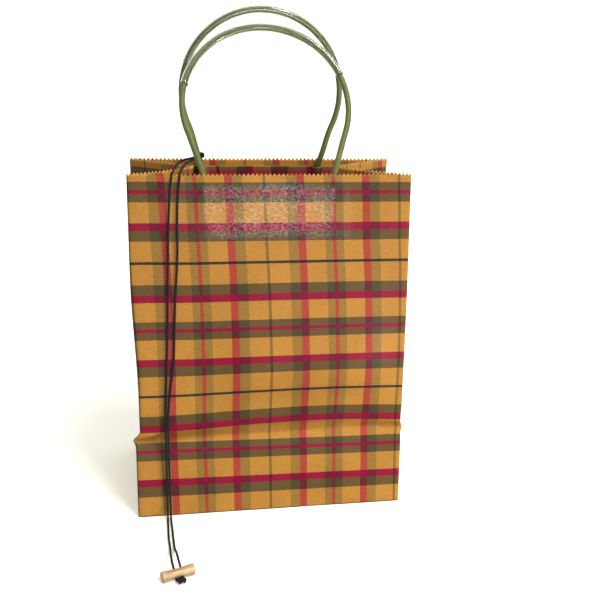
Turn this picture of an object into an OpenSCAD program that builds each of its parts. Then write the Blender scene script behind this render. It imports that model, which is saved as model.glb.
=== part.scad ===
// Fabric gift sack: a bag of stiff plaid cloth with sides that fold inward, two cord handles
// in clear sleeves, and a doubled black cord that runs from a handle over the front to a
// wooden toggle lying on the surface in front of the bag.
//
// Millimetres. +Z is up, the origin is the middle of the base on the surface the bag stands
// on, and the front, where the black cord hangs, faces -Y.

/* [Bag] */
// Width of the front and back panels
bag_w = 260; // [240:5:280]
// Height of the cloth bag, without its handles
bag_h = 328; // [324:1:332]
// Depth of the base from front to back
base_d = 150; // [148:1:152]
// Depth of the mouth from front to back
mouth_d = 88; // [86:1:90]
// Thickness of the laminated cloth
cloth_t = 0.8; // [0.6:0.1:1.0]

/* [Crease] */
// Height of the crease round the bag where its base folds flat
crease_h = 79; // [76:1:82]
// Depth of the bag at the crease
crease_d = 135; // [133:1:137]
// Height of the fullest line above the crease
belly_h = 105; // [100:1:115]
// Depth of the bag at its fullest line
belly_d = 139; // [137:1:141]

/* [Base] */
// Overlap of the two large base flaps
flap_lap = 26; // [16:2:40]
// How far the side tabs reach in under the board
tab_reach = 45; // [30:1:60]
// Thickness of the stiffening board
board_t = 2; // [1:0.5:3]
// Width of the glued seam flap inside the back right corner
seam_w = 14; // [10:1:20]

/* [Handles] */
// Diameter of the handle cord
rod_d = 5.6; // [5:0.1:6]
// Radius of the hoop that the handle cord makes
hoop_r = 77; // [75:1:80]
// Height of the hoop's centre over the top edge
hoop_h = 66; // [62:1:70]
// Distance of each foot from the middle of its handle
foot_x = 60; // [58:1:62]
// Length of the handle cord glued inside below the top edge
tail_len = 44; // [38:1:48]
// Side shift of the front handle
front_shift = -2.4; // [-4:0.1:4]
// Side shift of the rear handle
rear_shift = -1.7; // [-4:0.1:4]
// Lean of the front handle towards the back, degrees
front_lean = 28.3; // [20:0.1:32]
// Lean of the rear handle towards the front, degrees
rear_lean = 3.6; // [0:0.1:6]
// Height over the top edge where the front handle bends
front_bend_h = 6; // [5:0.5:8]
// Height over the top edge where the rear handle bends
rear_bend_h = 12; // [11:0.5:14]

/* [Grip sleeves] */
// Outer diameter of the clear sleeves
sleeve_d = 7.3; // [7:0.1:8]
// Gap between the handle cord and its sleeve, all round
sleeve_gap = 0.15; // [0.1:0.05:0.3]
// Arc of the hoop that a sleeve covers, degrees
sleeve_arc = 142; // [120:1:150]
// Middle of the front sleeve on its hoop, degrees from level
front_sleeve_mid = 94.5; // [85:0.5:100]
// Middle of the rear sleeve on its hoop, degrees from level
rear_sleeve_mid = 88; // [80:0.5:100]

/* [Handle patches] */
// Width of the cloth patch glued over the handle tails
patch_w = 180; // [160:1:190]
// Height of the patches
patch_h = 54; // [50:1:60]
// Distance from the top edge down to a patch
patch_drop = 6; // [4:0.5:8]
// Thickness of a patch
patch_t = 0.6; // [0.4:0.1:0.8]
// Side shift of the front patch
front_patch_shift = -11; // [-14:1:0]
// Side shift of the rear patch
rear_patch_shift = -3; // [-10:1:5]

/* [Cord and toggle] */
// Diameter of the black cord
cord_d = 2; // [1.6:0.1:2.2]
// Length of the wooden toggle
toggle_len = 29.4; // [26:0.2:34]
// Diameter of the toggle at its ends
toggle_d = 9.7; // [9:0.1:10]
// Diameter of the toggle at its waist
waist_d = 8.2; // [7.8:0.1:9]
// Diameter of the two holes through the toggle
hole_d = 3.2; // [2.8:0.1:3.4]
// Distance between the two holes
hole_gap = 6; // [5.5:0.1:7]
// Side shift of the two holes from the toggle's middle
hole_shift = 0.4; // [0:0.1:1]
// Turn of the toggle on the surface, degrees
toggle_turn = 17.7; // [10:0.1:25]
// Rise of the holes towards the bag, degrees
hole_rise = 42; // [38:1:46]

/* [Hidden] */
$fn = 64;

cloth_colour = [0.72, 0.48, 0.22];
lining_colour = [0.55, 0.36, 0.18];
board_colour = [0.62, 0.55, 0.44];
handle_colour = [0.55, 0.60, 0.40];
sleeve_colour = [0.88, 0.88, 0.80, 0.5];
cord_colour = [0.06, 0.06, 0.07];
wood_colour = [0.84, 0.70, 0.47];

rod_r = rod_d / 2;
cord_r = cord_d / 2;
half_w = bag_w / 2;
side_leaf = base_d / 2;             // width of each half of a folded side
levels = [0, crease_h, belly_h, bag_h];
half_depths = [base_d / 2, crease_d / 2, belly_d / 2, mouth_d / 2];
wall_lean = atan2(belly_d / 2 - mouth_d / 2, bag_h - belly_h);
bend_gap = 0.25;                    // air between a glued handle end and the swinging hoop

// Depth of the outer face from the middle of the bag at a height
function outer_y(z) = lookup(z, [for (i = [0:3]) [levels[i], half_depths[i]]]);

// --- walls -------------------------------------------------------------------------------

// Cloth against the front wall as one bent sheet, a side profile swept across a width:
// layer 0 is the wall itself and layer 1 lies on its inside
module wall_sheet(width, layer, z0, z1) {
    heights = [z0, crease_h, belly_h, z1];
    outside = [for (i = [0:3]) [layer * cloth_t - outer_y(heights[i]), heights[i]]];
    inside = [for (i = [3:-1:0]) [(layer + 1) * cloth_t - outer_y(heights[i]), heights[i]]];
    rotate([90, 0, 90])
        linear_extrude(width, center = true)
            polygon(concat(outside, inside));
}

module front_panel() {
    color(cloth_colour) wall_sheet(bag_w, 0, 0, bag_h);
}

module back_panel() {
    color(cloth_colour) mirror([0, 1, 0]) wall_sheet(bag_w, 0, 0, bag_h);
}

// The right side folds inward in a V that opens out flat at the base. It is a triangle that
// stands on the base edge, and two leaves that meet at the inward fold.
function fold_in(i) = i == 0 ? 0
    : sqrt(pow(side_leaf, 2) - pow(half_depths[i] - cloth_t, 2));
function leaf_shift(i) = cloth_t * side_leaf / (half_depths[i] - cloth_t / 2);
function at_front_wall(i) = [half_w, cloth_t - half_depths[i], levels[i]];
function at_fold(i) = [half_w - fold_in(i), 0, levels[i]];
function inward(i) = [-leaf_shift(i), 0, 0];

// Plate between an outline of outer points, anticlockwise from outside, and its inner copy
module plate(outer, inner, triangles) {
    n = len(outer);
    back = [for (t = triangles) [t[2] + n, t[1] + n, t[0] + n]];
    rim = [for (i = [0:n - 1]) let (j = (i + 1) % n) [j, i, i + n, j + n]];
    faces = concat(triangles, back, rim);
    polyhedron(concat(outer, inner), [for (f = faces) [for (i = [len(f) - 1:-1:0]) f[i]]]);
}

module front_leaf() {
    outer = [
        at_front_wall(0), at_fold(1), at_fold(2), at_fold(3),
        at_front_wall(3), at_front_wall(2), at_front_wall(1)
    ];
    shifts = [inward(0), inward(1), inward(2), inward(3), inward(3), inward(2), inward(1)];
    plate(outer, outer + shifts, [[0, 1, 6], [1, 2, 6], [2, 5, 6], [2, 3, 5], [3, 4, 5]]);
}

module fold_triangle() {
    front = at_front_wall(0);
    outer = [front, [front[0], -front[1], front[2]], at_fold(1)];
    plate(outer, outer + [inward(0), inward(0), inward(1)], [[0, 1, 2]]);
}

module right_gusset_front() {
    color(cloth_colour) front_leaf();
}

module right_gusset_back() {
    color(cloth_colour) mirror([0, 1, 0]) front_leaf();
}

module right_gusset_base() {
    color(cloth_colour) fold_triangle();
}

module left_gusset_front() {
    color(cloth_colour) mirror([1, 0, 0]) front_leaf();
}

module left_gusset_back() {
    color(cloth_colour) mirror([1, 0, 0]) mirror([0, 1, 0]) front_leaf();
}

module left_gusset_base() {
    color(cloth_colour) mirror([1, 0, 0]) fold_triangle();
}

// Carries its children to the inside face of the front wall at the top edge:
// X across the bag, Y into the bag, Z up along the wall
module on_front_wall() {
    translate([0, cloth_t - mouth_d / 2, bag_h])
        rotate([-wall_lean, 0, 0])
            children();
}

module on_back_wall() {
    mirror([0, 1, 0]) on_front_wall() children();
}

// Glued flap that closes the cloth into a tube, on the inside of the back wall
module side_seam_flap() {
    color(lining_colour)
        translate([half_w - 3 - seam_w / 2, 0, 0])
            mirror([0, 1, 0])
                wall_sheet(seam_w, 1, 6, bag_h - 3);
}

// --- base --------------------------------------------------------------------------------

flap_half_w = half_w - 2;
wall_slope = (base_d - crease_d) / 2 / crease_h;
inner_base = base_d / 2 - cloth_t;

module base_front_flap() {
    color(lining_colour)
        rotate([90, 0, 90])
            linear_extrude(2 * flap_half_w, center = true)
                polygon([
                    [-inner_base, 0],
                    [flap_lap / 2, 0],
                    [flap_lap / 2, cloth_t],
                    [wall_slope * cloth_t - inner_base, cloth_t]
                ]);
}

// Lies beside the front flap and steps up over its edge, where the two are glued
module base_back_flap() {
    color(lining_colour)
        rotate([90, 0, 90])
            linear_extrude(2 * flap_half_w, center = true)
                polygon([
                    [inner_base, 0],
                    [flap_lap / 2, 0],
                    [flap_lap / 2, cloth_t],
                    [-flap_lap / 2, cloth_t],
                    [-flap_lap / 2, 2 * cloth_t],
                    [flap_lap / 2 + cloth_t, 2 * cloth_t],
                    [flap_lap / 2 + cloth_t, cloth_t],
                    [inner_base - wall_slope * cloth_t, cloth_t]
                ]);
}

// Bottom tab of a folded side, tucked in above the large flaps
module base_tab() {
    edge_x = half_w - 2;
    translate([0, 0, 2 * cloth_t])
        linear_extrude(cloth_t)
            polygon([
                [edge_x, -inner_base + 4],
                [edge_x, inner_base - 4],
                [edge_x - tab_reach, inner_base - 4 - tab_reach / 2],
                [edge_x - tab_reach, 4 + tab_reach / 2 - inner_base]
            ]);
}

module base_left_tab() {
    color(lining_colour) mirror([1, 0, 0]) base_tab();
}

module base_right_tab() {
    color(lining_colour) base_tab();
}

board_z = 3 * cloth_t;

module base_board() {
    board_w = bag_w - 7;
    board_d = 2 * (inner_base - wall_slope * (board_z + board_t) - 0.4);
    color(board_colour)
        translate([-board_w / 2, -board_d / 2, board_z])
            cube([board_w, board_d, board_t]);
}

// --- handles -----------------------------------------------------------------------------

// Cloth patch on the inside of a wall, raised over the two handle tails
module wall_patch(shift, handle_shift) {
    feet = [handle_shift - foot_x, handle_shift + foot_x];
    difference() {
        union() {
            translate([shift - patch_w / 2, 0, -patch_drop - patch_h])
                cube([patch_w, patch_t, patch_h]);
            for (x = feet)
                translate([x, rod_r, -patch_drop - patch_h])
                    cylinder(r = rod_r + patch_t, h = patch_h);
        }
        for (x = feet)
            translate([x, rod_r, -tail_len])
                cylinder(r = rod_r, h = tail_len);
        for (x = feet)
            translate([x - rod_r, 0, -tail_len])
                cube([2 * rod_r, rod_r, tail_len]);
        translate([-half_w, -bag_h, -bag_h])
            cube([bag_w, bag_h, bag_h]);
    }
}

module front_handle_patch() {
    color(lining_colour) on_front_wall() wall_patch(front_patch_shift, front_shift);
}

module rear_handle_patch() {
    color(lining_colour) on_back_wall() wall_patch(rear_patch_shift, rear_shift);
}

// Glued end of a handle cord: the tail inside the wall and the stub over its top edge
module handle_end(x, bend_h) {
    stub_h = bend_h - rod_r - bend_gap;
    translate([x, rod_r, -tail_len])
        cylinder(r = rod_r, h = tail_len + stub_h);
}

module front_handle_left_end() {
    color(handle_colour) on_front_wall() handle_end(front_shift - foot_x, front_bend_h);
}

module front_handle_right_end() {
    color(handle_colour) on_front_wall() handle_end(front_shift + foot_x, front_bend_h);
}

module rear_handle_left_end() {
    color(handle_colour) on_back_wall() handle_end(rear_shift - foot_x, rear_bend_h);
}

module rear_handle_right_end() {
    color(handle_colour) on_back_wall() handle_end(rear_shift + foot_x, rear_bend_h);
}

// Where a handle bends, as depth from the middle of the bag and height
function bend_depth(h) = mouth_d / 2 - cloth_t - rod_r * cos(wall_lean) - h * sin(wall_lean);
function bend_height(h) = bag_h - rod_r * sin(wall_lean) + h * cos(wall_lean);

// The arc of the hoop runs this far below level, where the straight legs leave it
function arc_drop(h) = let (rise = hoop_h - h)
    atan2(rise, foot_x) - acos(hoop_r / norm([foot_x, rise]));

// Ring arc in the XZ plane round a centre at a height, from angle a0 through a sweep
module arc_tube(centre_h, a0, sweep) {
    translate([0, 0, centre_h])
        rotate([90, 0, 0])
            rotate([0, 0, a0])
                rotate_extrude(angle = sweep)
                    translate([hoop_r, 0])
                        children();
}

// Straight leg with a round foot at its bend; it is a hair thinner than the arc it enters
module leg(len) {
    r = rod_r - 0.05;
    rotate_extrude() {
        square([r, len + 1.5]);
        intersection() {
            circle(r = r);
            translate([0, -rod_d]) square([rod_d, rod_d]);
        }
    }
}

// Free part of a handle, standing upright with its bends on the X axis
module hoop(bend_h) {
    rise = hoop_h - bend_h;
    drop = arc_drop(bend_h);
    leg_len = sqrt(pow(foot_x, 2) + pow(rise, 2) - pow(hoop_r, 2));
    arc_tube(rise, -drop, 180 + 2 * drop) circle(r = rod_r);
    for (side = [-1, 1])
        translate([side * foot_x, 0, 0])
            rotate([0, side * drop, 0])
                leg(leg_len);
}

module sleeve(bend_h, mid) {
    arc_tube(hoop_h - bend_h, mid - sleeve_arc / 2, sleeve_arc)
        difference() {
            circle(d = sleeve_d);
            circle(r = rod_r + sleeve_gap);
        }
}

module at_front_bend() {
    translate([front_shift, -bend_depth(front_bend_h), bend_height(front_bend_h)])
        rotate([-front_lean, 0, 0])
            children();
}

module at_rear_bend() {
    translate([rear_shift, bend_depth(rear_bend_h), bend_height(rear_bend_h)])
        rotate([rear_lean, 0, 0])
            children();
}

module front_handle() {
    color(handle_colour) at_front_bend() hoop(front_bend_h);
}

module rear_handle() {
    color(handle_colour) at_rear_bend() hoop(rear_bend_h);
}

module front_grip_sleeve() {
    color(sleeve_colour) at_front_bend() sleeve(front_bend_h, front_sleeve_mid);
}

module rear_grip_sleeve() {
    color(sleeve_colour) at_rear_bend() sleeve(rear_bend_h, rear_sleeve_mid);
}

// --- toggle ------------------------------------------------------------------------------

toggle_pos = [-93.9, -172.3, toggle_d / 2 + 0.02];
along = [cos(toggle_turn), sin(toggle_turn), 0];
ahead = [sin(toggle_turn), -cos(toggle_turn), 0];
hole_dir = sin(hole_rise) * [0, 0, 1] - cos(hole_rise) * ahead;

// Point on the axis of a hole, at a distance from the toggle's middle towards the bag
function in_hole(side, d) = toggle_pos + (hole_shift + side * hole_gap / 2) * along + d * hole_dir;

// Toggle frame: X along the toggle, Z up its holes
module on_toggle() {
    translate(toggle_pos)
        rotate([0, 0, toggle_turn])
            rotate([hole_rise - 90, 0, 0])
                children();
}

// Turned peg with a slight waist and softened ends, and two holes side by side
module toggle() {
    soft = 0.7;
    end_r = toggle_d / 2;
    waist_r = waist_d / 2;
    half_len = toggle_len / 2;
    dip = end_r - waist_r;
    dip_r = (pow(half_len - 2, 2) + pow(dip, 2)) / (2 * dip);
    color(wood_colour)
        on_toggle()
            difference() {
                rotate([0, 90, 0])
                    rotate_extrude()
                        difference() {
                            polygon([
                                [0, -half_len],
                                [end_r - soft, -half_len],
                                [end_r, soft - half_len],
                                [end_r, half_len - soft],
                                [end_r - soft, half_len],
                                [0, half_len]
                            ]);
                            translate([waist_r + dip_r, 0])
                                circle(r = dip_r, $fn = 360);
                        }
                for (side = [-1, 1])
                    translate([hole_shift + side * hole_gap / 2, 0, -toggle_d])
                        cylinder(d = hole_d, h = 2 * toggle_d);
            }
}

// --- black cord --------------------------------------------------------------------------

// Stopper knot in front of the toggle, tied from both strands
knot_pos = toggle_pos + 7.6 * ahead + 0.6 * along + [0, 0, 3.1 - toggle_pos[2]];

module cord_knot() {
    half_len = 4.7;
    radius = 3;
    color(cord_colour)
        translate(knot_pos)
            rotate([0, 0, toggle_turn])
                rotate([0, 90, 0])
                    rotate_extrude()
                        polygon([for (a = [-90:15:90]) [radius * cos(a), half_len * sin(a)]]);
}

// Two turns and a cross bar of the cord round the left stub of the rear handle
hitch_turns = [4.7, 6.6];

module cord_hitch() {
    turn_r = rod_r + cord_r;
    color(cord_colour)
        on_back_wall()
            translate([rear_shift - foot_x, rod_r, 0]) {
                for (z = hitch_turns)
                    translate([0, 0, z])
                        rotate_extrude()
                            translate([turn_r, 0])
                                circle(r = cord_r);
                rotate([0, 0, 20])
                    translate([0, turn_r + 1.5 * cord_r, hitch_turns[0] - 0.4])
                        cylinder(r = cord_r, h = 2.7);
            }
}

// Routes of the two strands: out of the hitch, over the mouth and the front's top edge, down
// the front, along the surface, up into the toggle's hole and out to the knot
left_route = concat(
    [
        [-64, 34.6, 333], [-68.5, 31, 332], [-74, 26.5, 331.4], [-79.5, 19.5, 331],
        [-83, 9, 330.7], [-85.5, -4, 330.4], [-87.4, -18, 330.1], [-88.7, -32, 330],
        [-89.5, -42, 330.2], [-90, -44.8, 329.8], [-90.4, -46.6, 328.2], [-90.8, -47.2, 326],
        [-92, -47.9, 317], [-93, -49.2, 306], [-94.3, -51.7, 284], [-95.2, -54.2, 262],
        [-96, -56.7, 240], [-96.8, -59.8, 213], [-97.6, -62.8, 187], [-98.8, -65.9, 160],
        [-100.2, -69.1, 132], [-101.3, -71.8, 108], [-101.6, -73.6, 82], [-101.6, -75.2, 56],
        [-101.6, -76.6, 32], [-101.7, -77.8, 16], [-101.8, -79.8, 7], [-101.8, -84, 2.2],
        [-101.7, -90, 1.1], [-101.5, -102, 1.1], [-101.2, -115, 1.1], [-100.3, -128, 1.6],
        [-99.9, -138, 4], [-99.8, -147, 8.4], [-99.7, -154, 12], [-99.6, -159, 13.9],
        [-99.2, -163, 13.7]
    ],
    [for (d = [10.5, 3, -3, -5.6]) in_hole(-1, d)],
    [knot_pos - 1.2 * along]
);
right_route = concat(
    [
        [-64.2, 34.4, 330.8], [-67.6, 27, 331.2], [-71.2, 18, 331.2], [-75, 8, 331],
        [-78.2, -5, 330.6], [-80.4, -18, 330.2], [-81.8, -32, 330], [-82.6, -42, 330.2],
        [-83, -44.8, 329.8], [-83.3, -46.6, 328.2], [-83.6, -47.2, 326], [-84.7, -47.9, 317],
        [-85.7, -49.2, 306], [-86.6, -51.7, 284], [-86.8, -54.2, 262], [-88, -56.7, 240],
        [-90, -59.8, 213], [-91.2, -62.8, 187], [-92.6, -65.9, 160], [-96.2, -69.1, 132],
        [-98.7, -71.8, 108], [-99.3, -73.6, 82], [-99.2, -75.2, 56], [-99.1, -76.6, 32],
        [-98.9, -77.8, 16], [-98.8, -79.8, 7], [-98.7, -84, 2.2], [-98.4, -90, 1.1],
        [-97.7, -102, 1.1], [-97.1, -115, 1.1], [-96.4, -128, 1.6], [-95.6, -138, 4],
        [-95, -146, 8.4], [-94.7, -152.5, 12], [-94.3, -157.5, 13.8],
        [-93.7, -161.2, 13.6]
    ],
    [for (d = [10.5, 3, -3, -5.6]) in_hole(1, d)],
    [knot_pos + 1.2 * along]
);

sides = 8;

function unit(v) = v / norm(v);
function run(route, i) = unit(route[min(i + 1, len(route) - 1)] - route[max(i - 1, 0)]);

// Ring of points round a route point, square to the route
function ring(route, i) = let (
        t = run(route, i),
        u = unit([1, 0, 0] - t[0] * t),
        v = cross(t, u)
    )
    [for (k = [0:sides - 1]) let (a = (k + 0.5) * 360 / sides)
        route[i] + cord_r * (cos(a) * u + sin(a) * v)];

module cord(route) {
    n = len(route);
    points = [for (i = [0:n - 1]) each ring(route, i)];
    skin = [for (i = [0:n - 2], k = [0:sides - 1])
        let (a = i * sides + k, b = i * sides + (k + 1) % sides)
        each [[a, a + sides, b], [b, a + sides, b + sides]]];
    first_cap = [[for (k = [0:sides - 1]) k]];
    last_cap = [[for (k = [sides - 1:-1:0]) (n - 1) * sides + k]];
    polyhedron(points, concat(skin, first_cap, last_cap));
}

module toggle_cord_left() {
    color(cord_colour) cord(left_route);
}

module toggle_cord_right() {
    color(cord_colour) cord(right_route);
}

front_panel();
back_panel();
side_seam_flap();
left_gusset_front();
left_gusset_back();
left_gusset_base();
right_gusset_front();
right_gusset_back();
right_gusset_base();
base_front_flap();
base_back_flap();
base_left_tab();
base_right_tab();
base_board();
front_handle_patch();
rear_handle_patch();
front_handle_left_end();
front_handle_right_end();
rear_handle_left_end();
rear_handle_right_end();
front_handle();
rear_handle();
front_grip_sleeve();
rear_grip_sleeve();
cord_hitch();
toggle_cord_left();
toggle_cord_right();
toggle();
cord_knot();
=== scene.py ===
"""Fabric gift sack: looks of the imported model. Metres, in the frame of part.scad."""

import math

import bmesh
import bpy
import numpy as np
from mathutils import Matrix, Vector, noise


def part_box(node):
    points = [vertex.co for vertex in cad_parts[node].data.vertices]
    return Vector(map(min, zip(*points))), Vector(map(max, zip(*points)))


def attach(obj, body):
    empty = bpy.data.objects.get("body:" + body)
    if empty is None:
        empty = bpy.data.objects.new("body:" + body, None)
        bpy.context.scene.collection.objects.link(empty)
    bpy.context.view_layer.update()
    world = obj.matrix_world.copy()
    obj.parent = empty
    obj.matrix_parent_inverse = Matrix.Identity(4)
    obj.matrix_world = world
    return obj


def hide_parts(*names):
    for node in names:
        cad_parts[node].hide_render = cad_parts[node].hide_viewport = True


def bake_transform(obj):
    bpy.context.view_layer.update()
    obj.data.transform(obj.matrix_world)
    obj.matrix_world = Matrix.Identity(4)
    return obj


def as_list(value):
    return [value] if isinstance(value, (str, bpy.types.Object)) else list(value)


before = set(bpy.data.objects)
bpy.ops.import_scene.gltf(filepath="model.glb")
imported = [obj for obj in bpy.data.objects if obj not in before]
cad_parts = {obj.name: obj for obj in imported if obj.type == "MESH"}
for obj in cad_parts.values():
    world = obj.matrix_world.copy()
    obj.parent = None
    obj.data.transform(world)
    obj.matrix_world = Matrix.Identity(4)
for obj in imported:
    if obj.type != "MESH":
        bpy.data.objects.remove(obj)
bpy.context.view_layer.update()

# --- driving sizes, as in part.scad ---

BAG_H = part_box("front_panel")[1][2]
HALF_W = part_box("front_panel")[1][0]
SIDE_LEAF = 0.075
CLOTH_T = 0.0008
MOUTH_Y = 0.044
WALL_LEAN = math.radians(6.523)
ROD_R = 0.0028
CORD_R = 0.001
HOOP_R = 0.077
HOOP_H = 0.066
FOOT_X = 0.060
TAIL_LEN = 0.044
FRONT_SHIFT = -0.0024
REAR_SHIFT = -0.0017
# Repeat of the plaid both ways
PLAID = 0.125
# Length of one twist of the black cord
CORD_LAY = 0.0052


def interp(x, at, values):
    return np.interp(x, at, values)


def smoothstep(x, low, high):
    """0 up to low, 1 from high on, and an even rise between them."""
    t = np.clip((np.asarray(x, float) - low) / (high - low), 0, 1)
    return t * t * (3 - 2 * t)


def bell(x, middle, width):
    """1 in the middle, fading away over the width to both sides."""
    return np.exp(-(((x - middle) / width) ** 2))


# --- camera ---

CAMERA_PLACE = (-0.0960, -0.7757, 0.4535)
CAMERA_LENS = 49.02
CAMERA_HEADING = -9.64
CAMERA_TILT_DOWN = 18.32
CAMERA_ROLL = 1.58

camera_data = bpy.data.cameras.new("camera")
camera_data.sensor_width = 36
camera_data.lens = CAMERA_LENS
camera_data.clip_start = 0.01
camera = bpy.data.objects.new("camera", camera_data)
bpy.context.collection.objects.link(camera)
camera.matrix_world = (
    Matrix.Translation(CAMERA_PLACE)
    @ Matrix.Rotation(math.radians(CAMERA_HEADING), 4, "Z")
    @ Matrix.Rotation(math.radians(90 - CAMERA_TILT_DOWN), 4, "X")
    @ Matrix.Rotation(math.radians(CAMERA_ROLL), 4, "Z")
)
bpy.context.scene.camera = camera
bpy.context.scene.view_settings.view_transform = "Standard"

# --- material helpers ---


class Shader:
    """One material's node tree, with short calls to add its nodes."""

    def __init__(self, name):
        self.material = bpy.data.materials.new(name)
        self.material.use_nodes = True
        self.tree = self.material.node_tree
        self.skin = self.tree.nodes["Principled BSDF"]

    def set(self, socket, value):
        if isinstance(value, bpy.types.NodeSocket):
            self.tree.links.new(value, socket)
        else:
            socket.default_value = value

    def add(self, kind, inputs, output=0, **settings):
        node = self.tree.nodes.new("ShaderNode" + kind)
        for key, value in settings.items():
            setattr(node, key, value)
        for key, value in inputs.items():
            self.set(node.inputs[key], value)
        return node.outputs[output]

    def math(self, operation, a, b=0.0):
        return self.add("Math", {0: a, 1: b}, operation=operation)

    def mix(self, share, a, b, blend="MIX"):
        node = self.tree.nodes.new("ShaderNodeMix")
        node.data_type = "RGBA"
        node.blend_type = blend
        node.clamp_factor = False
        self.set(node.inputs[0], share)
        self.set(node.inputs[6], a)
        self.set(node.inputs[7], b)
        return node.outputs[2]

    def ramp(self, share, stops, interpolation="LINEAR"):
        node = self.tree.nodes.new("ShaderNodeValToRGB")
        ramp = node.color_ramp
        ramp.interpolation = interpolation
        while len(ramp.elements) < len(stops):
            ramp.elements.new(0.5)
        for element, (place, colour) in zip(ramp.elements, stops):
            element.position = place
            element.color = (*colour, 1)
        self.set(node.inputs[0], share)
        return node.outputs[0]

    def range(self, value, low, high, to_low=0.0, to_high=1.0):
        inputs = {0: value, 1: low, 2: high, 3: to_low, 4: to_high}
        return self.add("MapRange", inputs)

    def noise(self, vector, scale, detail=2.0, roughness=0.5):
        inputs = {"Vector": vector, "Scale": scale, "Detail": detail, "Roughness": roughness}
        return self.add("TexNoise", inputs)

    def mapping(self, vector, scale=(1, 1, 1), rotation=(0, 0, 0), location=(0, 0, 0)):
        inputs = {"Vector": vector, "Scale": scale, "Rotation": rotation, "Location": location}
        return self.add("Mapping", inputs)

    def uv(self, name):
        return self.add("UVMap", {}, uv_map=name)

    def place(self):
        return self.add("TexCoord", {}, output=3)

    def bump(self, height, strength, distance, normal=None):
        inputs = {"Height": height, "Strength": strength, "Distance": distance}
        if normal is not None:
            inputs["Normal"] = normal
        return self.add("Bump", inputs)

    def finish(self, **sockets):
        for key, value in sockets.items():
            self.set(self.skin.inputs[key.replace("_", " ")], value)
        return self.material


# Yarn order from the middle of a thin red stripe outwards, as distances in metres
YARN_EDGES = [0, 0.00165, 0.00855, 0.02705, 0.03395, 0.04335, 0.0611]
YARN_NAMES = ["red", "olive", "orange", "red", "olive", "orange", "black"]


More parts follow.
